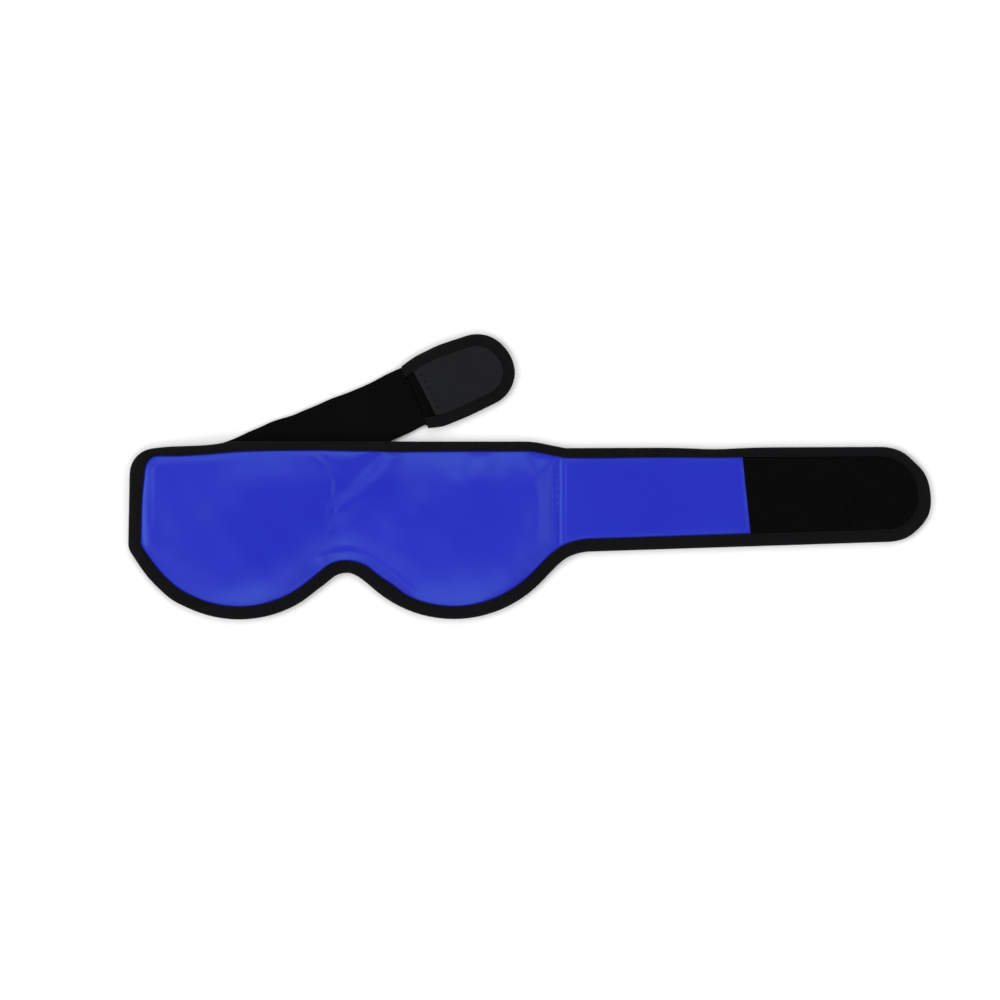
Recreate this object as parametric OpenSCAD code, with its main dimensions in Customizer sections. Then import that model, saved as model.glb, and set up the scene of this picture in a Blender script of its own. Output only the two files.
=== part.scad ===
// Gel eye pillow with a nose arch and two head straps, lying on its back with the face up.
// The origin is on the resting surface, under the line where the pillow folds over the nose.
// +X runs along the right strap, +Y towards the forehead edge, +Z up out of the face.

/* [Pillow] */
// Height of the forehead edge above the fold line's middle
top_y = 32.3; // [28:0.1:36]
// Height of the nose arch's crown, below the middle
arch_y = -31.5; // [-34:0.1:-30]
// Radius of the nose arch on its left side
arch_r = 11; // [8:0.5:12]
// Place of the seam between the pillow and the right strap
seam_x = 102.8; // [102:0.1:103.6]
// Rise of the face over each gel pack
dome_h = 6.3; // [4:0.1:6.6]
// Thickness of the face cloth with its foam
cover_t = 1.5; // [1:0.1:1.8]
// Thickness of the back cloth
back_t = 0.7; // [0.4:0.1:0.8]
// Thickness of the gel pack's film
film_t = 0.3; // [0.2:0.05:0.35]

/* [Binding] */
// Width of the binding on the face
binding_w = 6.2; // [4:0.1:7]
// Thickness of the binding tape
binding_t = 0.7; // [0.4:0.1:1]
// Share of that width that shows along the top edge
top_share = 0.75; // [0.6:0.05:1]
// Distance between stitches
stitch_pitch = 3.4; // [3:0.1:6]

/* [Right strap] */
// Place of the strap's round end
strap_end_x = 283.2; // [260:0.1:300]
// Where the loop patch starts at the strap's top edge
loop_x = 192; // [180:1:210]
// How far the loop patch's edge slants over the strap's width
loop_slant = 4; // [0:0.5:6]
// Height of the loop pile above the binding's inside
pile_t = 1.2; // [0.8:0.1:1.5]

/* [Left strap] */
// Direction of the folded strap
strap_angle = 22.8; // [20:0.1:26]
// Where the strap folds, on its own centre line
fold_x = -98.5; // [-100:0.1:-97]
fold_y = -1.0; // [-4:0.1:2]
// Width of the elastic
elastic_w = 30; // [26:1:32]
// Thickness of the elastic
elastic_t = 1.5; // [1:0.1:1.5]
// Distance from the fold to the tab
tab_start = 142; // [130:1:150]
// Length of the tab
tab_l = 51.5; // [45:0.5:60]
// Width of the tab
tab_w = 34.6; // [34:0.2:38]
// Distance from the tab's start to its hook patch
hook_gap = 6.5; // [5:0.5:8]

/* [Hidden] */

face_blue = [0.17, 0.21, 0.76];
tape_black = [0.11, 0.11, 0.12];
cloth_black = [0.07, 0.07, 0.08];
pile_black = [0.04, 0.04, 0.04];
patch_grey = [0.2, 0.21, 0.22];
thread_grey = [0.16, 0.16, 0.17];
film_clear = [0.8, 0.85, 0.9];
gel_blue = [0.35, 0.6, 0.85];

gap = 0.3;             // between bodies that move against each other
rim = 0.9;             // from the outer edge to the cloths inside the binding
pad_z = 2.1;           // underside of the pillow, above the strap folded beneath it
inner_z = pad_z + binding_t;
inner_h = 2.2;
back_top = inner_z + back_t;
rim_top = inner_z + inner_h;
binding_h = inner_h + 2*binding_t;
thread_t = 0.2;
groove_w = 1.2;        // channel that a row of stitches pulls into a pile
groove_d = 0.3;
past = 1;              // how far a cutter runs past what it cuts

// A plan is a list of [x, y, corner radius, share]. The share is how much of an inset the edge that
// starts there takes, and 0 marks a cut edge, which has an inset of its own.
left_plan = [[-gap/2, top_y, 0, top_share], [-50, top_y, 150, top_share], [-105.2, 28, 12, 1],
             [-106.4, -19.5, 8, 1], [-66, -82.5, 58, 1], [-4.2, arch_y, arch_r, 1], [-gap/2, arch_y, 0, 0]];
right_plan = [[gap/2, arch_y, 0, 1], [4.2, arch_y, arch_r, 1], [54.5, -77, 59, 1],
              [seam_x - gap/2, -27, 0, 0], [seam_x - gap/2, 29.8, 0, top_share],
              [90, top_y, 40, top_share], [gap/2, top_y, 0, 0]];
strap_plan = [[seam_x + gap/2, -26.9, 0, 1], [107.2, -23.7, 0, 1], [114, -21.3, 0, 1],
              [strap_end_x, -15.8, 21, 1], [strap_end_x, 29.8, 24, top_share],
              [106, 29.1, 12, top_share], [seam_x + gap/2, 29.7, 0, 0]];
tab_plan = [[tab_start, -tab_w/2, 0, 1], [tab_start + tab_l, -tab_w/2, tab_w/2 - past, 1],
            [tab_start + tab_l, tab_w/2, tab_w/2 - past, 1], [tab_start, tab_w/2, 0, 0]];
tab_t = -0.9;          // how far the tab sits off the elastic's centre line

left_middle = [-52, -8];
right_middle = [50, -8];
dome_steps = [1, 0.93, 0.86, 0.84, 0.82, 0.7, 0.55, 0.38, 0.2];
flange_steps = [0.93, 0.9, 0.86, 0.84, 0.82, 0.7, 0.55, 0.38, 0.2];
gel_steps = [0.84, 0.82, 0.7, 0.55, 0.38, 0.2];

function unit(v) = v/norm(v);
function turned(v) = [-v.y, v.x];
function meet(p, d, q, e) = p + d*cross(q - p, e)/cross(d, e);
function shift_of(share, inset, cut) = share == 0 ? cut : share*inset;

// Outline of a plan, with its edges moved in and every corner rounded by a tangent arc.
function outline(plan, inset = 0, cut = 0) = let (n = len(plan)) [
    for (i = [0:n - 1]) let (
        before = plan[(i + n - 1) % n], here = plan[i], after = plan[(i + 1) % n],
        a = [before.x, before.y], b = [here.x, here.y], c = [after.x, after.y],
        d = unit(b - a), e = unit(c - b),
        in_d = shift_of(before[3], inset, cut), in_e = shift_of(here[3], inset, cut),
        corner = meet(b + in_d*turned(d), d, b + in_e*turned(e), e),
        turn = atan2(cross(d, e), d*e), side = turn > 0 ? 1 : -1,
        r = here[2] - side*(in_d + in_e)/2, steps = ceil(abs(turn)/9),
        centre = corner - d*r*tan(abs(turn)/2) + side*r*turned(d),
        first = atan2(-side*turned(d).y, -side*turned(d).x))
    each here[2] == 0 ? [corner]
        : [for (k = [0:steps]) centre + r*[cos(first + turn*k/steps), sin(first + turn*k/steps)]]];

module sheet(plan, z, t, inset, cut = 0)
    translate([0, 0, z]) linear_extrude(t) polygon(outline(plan, inset, cut));

// Folded tape round the open edges of a plan, with a slot for the cloths.
module tape(plan, z, h, w, t) difference() {
    sheet(plan, z, h, 0);
    sheet(plan, z - past, h + 2*past, w, -past);
    sheet(plan, z + t, h - 2*t, t, -past);
}

function lengths(p) = [for (i = 0, l = 0; i < len(p); l = l + (i + 1 < len(p) ? norm(p[i + 1] - p[i]) : 0),
                            i = i + 1) l];
function place(p, l, s, i = 0) = i >= len(p) - 2 || l[i + 1] >= s ? [i, s - l[i]] : place(p, l, s, i + 1);

// Top-stitching along the open edge of a plan, left out past the two limits in x.
module stitching(plan, z, inset, pitch, low = -1000, high = 1000, length = 2.2, width = 0.4) {
    p = outline(plan, inset);
    l = lengths(p);
    count = floor(l[len(l) - 1]/pitch);
    for (k = [0:count - 1]) {
        at = place(p, l, (k + 0.5)*pitch);
        d = unit(p[at[0] + 1] - p[at[0]]);
        c = p[at[0]] + d*at[1];
        if (c.x > low && c.x < high)
            translate([c.x, c.y, z]) rotate(atan2(d.y, d.x))
                translate([-length/2, -width/2, 0]) cube([length, width, thread_t]);
    }
}

// A straight row of stitches from a to b.
module stitch_row(a, b, z, pitch, length = 2.2, width = 0.4) {
    d = unit(b - a);
    count = floor(norm(b - a)/pitch);
    for (k = [0:count - 1]) {
        c = a + d*(k + 0.5)*norm(b - a)/count;
        translate([c.x, c.y, z]) rotate(atan2(d.y, d.x))
            translate([-length/2, -width/2, 0]) cube([length, width, thread_t]);
    }
}

// Solid between two heights over rings of points that close on a middle point.
module layered(rings, middle, low, high, low_middle, high_middle) {
    m = len(rings);
    n = len(rings[0]);
    points = concat([for (k = [0:m - 1]) for (p = rings[k]) [p.x, p.y, high[k]]],
                    [for (k = [0:m - 1]) for (p = rings[k]) [p.x, p.y, low[k]]],
                    [[middle.x, middle.y, high_middle], [middle.x, middle.y, low_middle]]);
    faces = [for (i = [0:n - 1]) let (j = (i + 1) % n) each concat(
        [for (k = [0:m - 2]) each [[(k + 1)*n + i, (k + 1)*n + j, k*n + j], [(k + 1)*n + i, k*n + j, k*n + i],
                                   [(m + k)*n + i, (m + k)*n + j, (m + k + 1)*n + j],
                                   [(m + k)*n + i, (m + k + 1)*n + j, (m + k + 1)*n + i]]],
        [[2*m*n, (m - 1)*n + j, (m - 1)*n + i], [2*m*n + 1, (2*m - 1)*n + i, (2*m - 1)*n + j],
         [i, j, m*n + j], [i, m*n + j, m*n + i]])];
    polyhedron(points, faces, convexity = 4);
}

function shrunk(plan, middle, s) = [for (p = outline(plan, binding_w + 0.4, past)) middle + s*(p - middle)];
function face_z(s) = rim_top + dome_h*(1 - s*s);
function pouch_z(s) = s > 0.85 ? back_top + 2*film_t
    : s > 0.83 ? back_top + 2*film_t + 0.4 : face_z(s) - cover_t - 0.1;

module front_cover(plan, middle) {
    rings = concat([outline(plan, rim)], [for (s = dome_steps) shrunk(plan, middle, s)]);
    high = concat([rim_top], [for (s = dome_steps) face_z(s)]);
    layered(rings, middle, [for (z = high) z - cover_t], high, face_z(0) - cover_t, face_z(0));
}

module pouch_front(plan, middle)
    layered([for (s = flange_steps) shrunk(plan, middle, s)], middle,
            [for (s = flange_steps) pouch_z(s) - film_t], [for (s = flange_steps) pouch_z(s)],
            pouch_z(0) - film_t, pouch_z(0));

module pouch_back(plan, middle)
    translate([0, 0, back_top]) linear_extrude(film_t) polygon(shrunk(plan, middle, flange_steps[0]));

module gel(plan, middle)
    layered([for (s = gel_steps) shrunk(plan, middle, s)], middle,
            [for (s = gel_steps) back_top + film_t], [for (s = gel_steps) pouch_z(s) - film_t - 0.1],
            back_top + film_t, pouch_z(0) - film_t - 0.1);

module along_strap() translate([fold_x, fold_y, 0]) rotate(strap_angle) children();

// The strap's near end follows the fold line, so that it opens straight out to the left.
fold_slope = tan(strap_angle/2);
anchor_l = 8;
anchor_row = 9;                    // half the length of its rows of stitches
half_w = elastic_w/2;
tab_z = 0.5;                       // thickness of the tab's tape
tab_core_z = 2*tab_z;
tab_h = 3.7;
patch_z = tab_core_z + elastic_t + 0.1;
patch_start = tab_start + hook_gap;
elastic_end = patch_start + 2;
hook_t = 0.8;
tab_tape_w = 5.2;

module front_cover_left() color(face_blue) front_cover(left_plan, left_middle);
module front_cover_right() color(face_blue) front_cover(right_plan, right_middle);
module pouch_front_left() color(film_clear) pouch_front(left_plan, left_middle);
module pouch_front_right() color(film_clear) pouch_front(right_plan, right_middle);
module pouch_back_left() color(film_clear) pouch_back(left_plan, left_middle);
module pouch_back_right() color(film_clear) pouch_back(right_plan, right_middle);
module gel_left() color(gel_blue) gel(left_plan, left_middle);
module gel_right() color(gel_blue) gel(right_plan, right_middle);

// Plan of the elastic's sewn end, in the strap's own frame.
module anchor_plan() polygon([[-anchor_l + half_w*fold_slope, half_w], [-anchor_l - half_w*fold_slope, -half_w],
                              [-half_w*fold_slope, -half_w], [half_w*fold_slope, half_w]]);

module strap_anchor() color(cloth_black) intersection() {
    along_strap() translate([0, 0, inner_z]) linear_extrude(back_t) anchor_plan();
    sheet(left_plan, inner_z - past, back_t + 2*past, rim);
}

module back_cover_left() color(cloth_black) difference() {
    sheet(left_plan, inner_z, back_t, rim);
    along_strap() translate([0, 0, inner_z - past]) linear_extrude(back_t + 2*past) anchor_plan();
}

module back_cover_right() color(cloth_black) sheet(right_plan, inner_z, back_t, rim);
module binding_left() color(tape_black) tape(left_plan, pad_z, binding_h, binding_w, binding_t);
module binding_right() color(tape_black) tape(right_plan, pad_z, binding_h, binding_w, binding_t);
module binding_stitches_left() color(thread_grey)
    stitching(left_plan, pad_z + binding_h, binding_w - 1.2, stitch_pitch, high = -2);
module binding_stitches_right() color(thread_grey)
    stitching(right_plan, pad_z + binding_h, binding_w - 1.2, stitch_pitch, low = 2, high = seam_x - 2);

// These go through the tape, the elastic and the cloths, and show on the tape's underside.
module anchor_stitches() color(thread_grey) along_strap() for (s = [-5.2, -4.2])
    stitch_row([s - anchor_row*fold_slope, -anchor_row], [s + anchor_row*fold_slope, anchor_row],
               pad_z - thread_t, stitch_pitch);

module seam_stitches() color(thread_grey)
    stitch_row([seam_x - 0.65, -16], [seam_x - 0.65, 24], rim_top, stitch_pitch);

module loop_edge() translate([loop_x + loop_slant/2, 6, 0]) rotate(atan2(loop_slant, 38)) children();
module groove(x, half_l, z) translate([x - groove_w/2, -half_l, z - groove_d]) cube([groove_w, 2*half_l, 2]);

// Everything on the strap's face that is past the slanted start of the loop patch.
module past_loop_start() loop_edge() translate([0, -50, 0]) cube([strap_end_x - loop_x + 10, 100, 20]);

stitch_in = 1.6;                   // from a patch's edge to its stitches
foam_z = inner_z + 0.6;
strap_face_z = foam_z + 1;
module strap_lining() color(cloth_black) sheet(strap_plan, inner_z, 0.6, rim);
module strap_foam() color(cloth_black) sheet(strap_plan, foam_z, 1, rim);
module strap_face() color(face_blue) difference() {
    sheet(strap_plan, strap_face_z, rim_top - strap_face_z, rim);
    past_loop_start();
}
module loop_patch() color(pile_black) difference() {
    intersection() {
        union() {
            sheet(strap_plan, strap_face_z, rim_top - strap_face_z, rim);
            sheet(strap_plan, rim_top, pile_t, binding_w + 0.1);
        }
        past_loop_start();
    }
    loop_edge() groove(stitch_in, 30, rim_top + pile_t);
}
module strap_binding() color(tape_black) tape(strap_plan, pad_z, binding_h, binding_w, binding_t);
module strap_binding_stitches() color(thread_grey)
    stitching(strap_plan, pad_z + binding_h, binding_w - 1.2, stitch_pitch, low = seam_x + 2);
module loop_patch_stitches() color(thread_grey) loop_edge()
    stitch_row([stitch_in, -18.5], [stitch_in, 16], rim_top + pile_t - groove_d, stitch_pitch);

// Side view of the elastic: flat on the surface, then up onto the tab's backing.
module elastic_strap() color(cloth_black) along_strap() intersection() {
    translate([0, half_w, 0]) rotate([90, 0, 0]) linear_extrude(elastic_w)
        polygon([[-half_w, 0], [tab_start - 4, 0], [tab_start - 0.5, tab_core_z], [elastic_end, tab_core_z],
                 [elastic_end, tab_core_z + elastic_t], [tab_start - 0.5, tab_core_z + elastic_t],
                 [tab_start - 4, elastic_t], [-half_w, elastic_t]]);
    translate([0, 0, -past]) linear_extrude(10)
        polygon([[half_w*fold_slope, half_w], [-half_w*fold_slope, -half_w],
                 [elastic_end, -half_w], [elastic_end, half_w]]);
}

module on_tab() along_strap() translate([0, tab_t, 0]) children();
module from_patch(s) translate([s, -50, -past]) cube([100, 100, 20]);

module tab_backing() color(cloth_black) on_tab() sheet(tab_plan, tab_z, tab_z, tab_z);
module tab_foam() color(cloth_black) on_tab() intersection() {
    sheet(tab_plan, tab_core_z, elastic_t + 0.1, rim);
    from_patch(elastic_end + 0.1);
}
module tab_binding() color(tape_black) on_tab() tape(tab_plan, 0, tab_h, tab_tape_w, tab_z);
module tab_binding_stitches() color(thread_grey) on_tab()
    stitching(tab_plan, tab_h, tab_tape_w - 1, stitch_pitch);
module hook_patch() color(patch_grey) on_tab() difference() {
    intersection() {
        union() {
            sheet(tab_plan, patch_z, tab_h - tab_z - patch_z, rim);
            sheet(tab_plan, tab_h - tab_z, hook_t, tab_tape_w + 0.3);
        }
        from_patch(patch_start);
    }
    groove(patch_start + stitch_in, 30, tab_h - tab_z + hook_t);
}
module hook_patch_stitches() color(thread_grey) on_tab()
    stitch_row([patch_start + stitch_in, -10], [patch_start + stitch_in, 10],
               tab_h - tab_z + hook_t - groove_d, stitch_pitch);
module tab_join_stitches() color(thread_grey) on_tab() for (s = [1.6, 4.2])
    stitch_row([tab_start + s, -10], [tab_start + s, 10], tab_core_z + elastic_t, stitch_pitch);

front_cover_left();
back_cover_left();
pouch_front_left();
pouch_back_left();
gel_left();
binding_left();
binding_stitches_left();
strap_anchor();
anchor_stitches();
front_cover_right();
back_cover_right();
pouch_front_right();
pouch_back_right();
gel_right();
binding_right();
binding_stitches_right();
seam_stitches();
strap_face();
strap_foam();
strap_lining();
strap_binding();
strap_binding_stitches();
loop_patch();
loop_patch_stitches();
elastic_strap();
tab_backing();
tab_foam();
tab_binding();
tab_binding_stitches();
hook_patch();
hook_patch_stitches();
tab_join_stitches();
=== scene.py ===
# Gel eye pillow with two head straps, lying on its back with the face up.
# The dictionaries give lengths in millimetres, in the frame's own axes; meshes are put in metres.
import math
import bpy
import numpy as np
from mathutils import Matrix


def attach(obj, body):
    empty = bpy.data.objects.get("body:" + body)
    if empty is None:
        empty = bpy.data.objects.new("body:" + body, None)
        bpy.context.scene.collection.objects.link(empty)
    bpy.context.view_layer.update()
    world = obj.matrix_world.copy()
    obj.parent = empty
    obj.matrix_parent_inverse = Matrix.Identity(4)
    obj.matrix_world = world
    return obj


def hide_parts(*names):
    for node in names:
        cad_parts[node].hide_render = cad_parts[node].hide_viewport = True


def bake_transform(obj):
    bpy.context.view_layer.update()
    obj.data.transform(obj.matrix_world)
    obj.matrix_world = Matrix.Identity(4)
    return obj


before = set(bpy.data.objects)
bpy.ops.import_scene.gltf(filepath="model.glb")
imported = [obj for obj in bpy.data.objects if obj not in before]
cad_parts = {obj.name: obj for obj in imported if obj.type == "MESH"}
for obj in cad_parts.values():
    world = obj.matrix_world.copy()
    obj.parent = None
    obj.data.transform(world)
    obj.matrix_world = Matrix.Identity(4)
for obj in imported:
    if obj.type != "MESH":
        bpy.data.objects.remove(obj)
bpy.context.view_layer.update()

# Plans are [x, y, corner radius, share of an inset that the edge starting there takes].
pillow = {
    "plan": [[-50, 32.3, 150, 0.75], [-105.2, 28, 12, 1], [-106.4, -19.5, 8, 1], [-66, -82.5, 58, 1],
             [-4.2, -31.5, 11, 1], [4.2, -31.5, 11, 1], [54.5, -77, 59, 1], [102.8, -27, 0, 0],
             [102.8, 29.8, 0, 0.75], [90, 32.3, 40, 0.75]],
    "seamX": 102.8,
    "rimTop": 5.0,        # top of the cloths inside the tape, before the pillow sinks to the surface
    "foldWidth": 11,      # reach of the bend at the nose, on each side of it
}
strap = {
    "plan": [[102.8, -27, 0, 1], [107.2, -23.7, 15, 1], [114, -21.3, 25, 1], [283.2, -15.8, 21, 1],
             [283.2, 29.8, 24, 0.75], [106, 29.1, 12, 0.75], [102.8, 29.7, 0, 0]],
    "loopStart": [194, 6], "loopSlant": 4,
    "bendEnd": 118,       # where the strap stops bending after the seam
}
tapeSize = {"width": 6.2, "thickness": 0.7, "height": 3.6, "low": 2.1, "join": 88, "pitch": 3.4}
drape = {"fold": [-98.5, -1.0], "angle": 22.8, "half": 15.8, "lift": 2.0, "reach": 11, "sunk": 1.05}


def smooth(t):
    # 3t^2 - 2t^3 between 0 and 1
    t = np.clip(t, 0, 1)
    return t * t * (3 - 2 * t)


def cross(a, b):
    return a[..., 0] * b[..., 1] - a[..., 1] * b[..., 0]


# where the sewn edge wanders: place, reach in x and y, move of the outer line, move of the tape's inner line
wander = [[-98, 25, 12, 14, 0, 0, 1.6, 1.5], [-88, 30, 8, 5, 0, 0.35, 0, 0], [-68, 31, 8, 5, 0, -0.33, 0, 0],
          [-56, 32, 5, 5, 0, 0.5, 0, 0], [-17, 29, 22, 5, 0, 0, 0, 0.5], [26, 29, 16, 5, 0, 0, 0, -0.4],
          [4, -28, 7, 5, 0, 0, 0, -0.4], [21, -38, 6, 6, 0, 0, 0.5, 0.9], [6.3, -33, 4, 4, 0, -0.5, 0, 0],
          [-17, -41, 5, 5, 0, 0.4, 0, 0], [-84, -44, 6, 6, -0.8, 0, -0.9, -0.2], [121, 28, 12, 3.2, 0, 0, 0,
                                                                                  -0.6],
          [179, 28.5, 14, 3.2, 0, -0.85, 0, -0.85], [277, 24, 6, 5, -0.6, -0.5, 0, 0],
          [283, -4, 5, 9, 0.7, 0, 0.4, 0], [275, -18.5, 5, 4, 1.3, -0.6, 0.8, -0.4]]


def outline(plan, inset=0.0, step=4.0):
    # closed line: each edge moved in by its share of the inset, each corner rounded by a tangent arc, then
    # wandering
    p = np.array(plan, float)
    d = np.roll(p[:, :2], -1, 0) - p[:, :2]
    d /= np.linalg.norm(d, axis=1)[:, None]
    shift = inset * p[:, 3]
    base = p[:, :2] + np.stack([-d[:, 1], d[:, 0]], 1) * shift[:, None]
    line = []
    for i in range(len(p)):
        a, e, b = d[i - 1], d[i], base[i]
        corner = b + e * cross(base[i - 1] - b, a) / cross(e, a)
        turn = math.atan2(cross(a, e), a @ e)
        side = math.copysign(1, turn)
        r = max(p[i, 2] - side * (shift[i - 1] + shift[i]) / 2, 0.4)
        if p[i, 2] == 0:
            line.append(corner[None])
            continue
        across = np.array([-a[1], a[0]])
        centre = corner - a * r * math.tan(abs(turn) / 2) + side * r * across
        first = math.atan2(-side * across[1], -side * across[0])
        t = first + turn * np.linspace(0, 1, math.ceil(abs(math.degrees(turn)) / step) + 1)
        line.append(centre + r * np.stack([np.cos(t), np.sin(t)], 1))
    between = []
    for i, after in enumerate(line[1:] + line[:1]):
        count = int(math.dist(p[i, :2], p[(i + 1) % len(p), :2]) // 6) + 2
        between += [line[i], np.linspace(line[i][-1], after[0], count)[1:-1]]
    line = np.concatenate(between + [line[0][:1]])
    way = np.array(wander)
    near = np.exp(-(((line[:, None] - way[:, :2]) / way[:, 2:4]) ** 2).sum(-1))
    inner = min(max(inset / 6, 0), 1)
    return line + near @ (way[:, 4:6] * (1 - inner) + way[:, 6:8] * inner)


def runLength(line):
    return np.concatenate([[0], np.cumsum(np.linalg.norm(np.diff(line, axis=0), axis=1))])


def along(line, guide, s):
    # the points of line beside those that the guide line passes after the lengths s
    run = runLength(guide)
    return np.stack([np.interp(s, run, line[:, k]) for k in range(line.shape[1])], -1)


def depth(points, ring):
    # distance inside a closed line that runs anticlockwise, negative outside: nearest piece, with its side
    flat = points.reshape(-1, 2)
    a, v = ring[:-1], np.diff(ring, axis=0)
    keep = np.linalg.norm(v, axis=1) > 1e-6
    a, v = a[keep], v[keep]
    size = (v * v).sum(1)
    result = np.empty(len(flat))
    for k in range(0, len(flat), 8000):
        q = flat[k:k + 8000, None] - a
        t = np.clip((q * v).sum(2) / size, 0, 1)
        away = q - t[..., None] * v
        gap = (away * away).sum(2)
        near = gap.argmin(1)
        rows = np.arange(len(near))
        side = np.sign(cross(v[near], q[rows, near]))
        result[k:k + 8000] = np.sqrt(gap[rows, near]) * np.where(side == 0, 1, side)
    return result.reshape(points.shape[:-1])


def toStrap(x, y):
    # place along and across the folded strap
    c, s = math.cos(math.radians(drape["angle"])), math.sin(math.radians(drape["angle"]))
    dx, dy = x - drape["fold"][0], y - drape["fold"][1]
    return dx * c + dy * s, dy * c - dx * s


def fromStrap(s, t):
    c, n = math.cos(math.radians(drape["angle"])), math.sin(math.radians(drape["angle"]))
    return drape["fold"][0] + s * c - t * n, drape["fold"][1] + s * n + t * c


def under(x, y):
    # height of the pillow's underside: the folded strap lifts it, and it falls smoothly to the surface
    # beside it
    s, t = toStrap(x, y)
    slope = math.tan(math.radians(drape["angle"] / 2))
    away = np.hypot(np.maximum(np.abs(t) - drape["half"], 0), np.maximum(-1.5 - (s - t * slope), 0))
    return 0.05 + drape["lift"] * (1 - smooth(away / drape["reach"]))


def sink(x, y):
    return tapeSize["low"] - under(x, y)


def ripple(x, y, waves):
    # sum of sine waves, each given as (length, direction in degrees, size, shift)
    z = 0
    for length, turn, size, start in waves:
        a = math.radians(turn)
        z = z + size * np.sin(2 * math.pi * (x * math.cos(a) + y * math.sin(a)) / length + start)
    return z


def makeMesh(name, vertices, faces, faceUv, finish, sharp=50):
    mesh = bpy.data.meshes.new(name)
    mesh.from_pydata([], [], [])
    faces = [f for f in faces if len(f)]
    corners = np.concatenate([f.ravel() for f in faces]).astype(np.int32)
    sizes = np.concatenate([np.full(len(f), f.shape[1]) for f in faces])
    starts = np.concatenate([[0], np.cumsum(sizes)[:-1]])
    mesh.vertices.add(len(vertices))
    mesh.vertices.foreach_set("co", (vertices * 0.001).astype(np.float32).ravel())
    mesh.loops.add(len(corners))
    mesh.loops.foreach_set("vertex_index", corners)
    mesh.polygons.add(len(sizes))
    mesh.polygons.foreach_set("loop_start", starts.astype(np.int32))
    mesh.update(calc_edges=True)
    uv = mesh.uv_layers.new(name="UVMap")
    uv.data.foreach_set("uv", (faceUv * 0.001).astype(np.float32).ravel())
    mesh.validate()
    mesh.shade_smooth()
    mesh.set_sharp_from_angle(angle=math.radians(sharp))
    piece = bpy.data.objects.new(name, mesh)
    bpy.context.scene.collection.objects.link(piece)
    mesh.materials.append(finish)
    return piece


def gridFaces(n, m, closed):
    # corners of the squares of an n by m grid, whose columns may close on the first
    r, c = np.meshgrid(np.arange(n - 1), np.arange(m if closed else m - 1), indexing="ij")
    r, c = r.ravel(), c.ravel()
    return np.stack([r * m + c, (r + 1) * m + c, (r + 1) * m + (c + 1) % m, r * m + (c + 1) % m], 1)


def shell(name, outer, inner, uv, finish, sharp=50):
    # closed cloth between two grids: their rows run round one section after another, and both ends are capped
    n, m = outer.shape[:2]
    grid = np.concatenate([outer, inner[:, ::-1]], 1)
    flat = np.concatenate([uv, uv[:, ::-1]], 1).reshape(-1, 2)
    faces = gridFaces(n, 2 * m, True)
    k = np.arange(m - 1)
    cap = np.stack([k, k + 1, 2 * m - 2 - k, 2 * m - 1 - k], 1)
    faces = np.concatenate([faces, cap, cap[:, ::-1] + (n - 1) * 2 * m])
    return makeMesh(name, grid.reshape(-1, 3), [faces], flat[faces].reshape(-1, 2), finish, sharp)


def threads(name, centre, direction, finish, size=(2.3, 0.45, 0.32), sides=6, stations=6):
    # one round stitch for each place: its thickness is the fourth root of 1 - t^4, its ends dip into the
    # cloth
    t = np.linspace(-1, 1, stations)
    fat = (1 - 0.93 * np.abs(t) ** 4) ** 0.5
    a = np.arange(sides) * 2 * math.pi / sides
    centre = np.asarray(centre, float)
    u = np.asarray(direction, float)
    u = u / np.linalg.norm(u, axis=1)[:, None]
    v = np.stack([-u[:, 1], u[:, 0], np.zeros(len(u))], 1)
    v /= np.linalg.norm(v, axis=1)[:, None]
    w = np.cross(u, v)
    lift = (0.5 - np.abs(t) ** 3) * size[2]
    points = (centre[:, None, None] + u[:, None, None] * (t * size[0] / 2)[:, None, None]
              + v[:, None, None] * (fat[:, None] * np.cos(a) * size[1] / 2)[..., None]
              + w[:, None, None] * (fat[:, None] * np.sin(a) * size[2] / 2 + lift[:, None])[..., None])
    one = gridFaces(stations, sides, True)
    ends = np.array([np.arange(sides), (stations - 1) * sides + np.arange(sides)[::-1]])
    step = (np.arange(len(centre)) * stations * sides)[:, None, None]
    faces, caps = (one + step).reshape(-1, 4)[:, ::-1], (ends + step).reshape(-1, sides)
    uv = np.concatenate([np.tile([[0, 0], [0, 1], [1, 1], [1, 0]], (len(faces), 1)),
                         np.zeros((caps.size, 2))]) * 0.4
    return makeMesh(name, points.reshape(-1, 3), [faces, caps], uv, finish, 80)


# ---- finishes
def sockets(tree, names, way):
    for name, kind, value in names:
        socket = tree.interface.new_socket(name=name, in_out=way, socket_type="NodeSocket" + kind)
        if value is not None:
            socket.default_value = value


def join(tree, source, target):
    tree.links.new(source, target)


def sums(tree, kind, a, b=None, c=None):
    # one Math node; a, b and c are sockets or numbers
    node = tree.nodes.new("ShaderNodeMath")
    node.operation = kind
    for k, value in enumerate((a, b, c)):
        if hasattr(value, "is_linked"):
            join(tree, value, node.inputs[k])
        elif value is not None:
            node.inputs[k].default_value = value
    return node.outputs[0]


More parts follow.
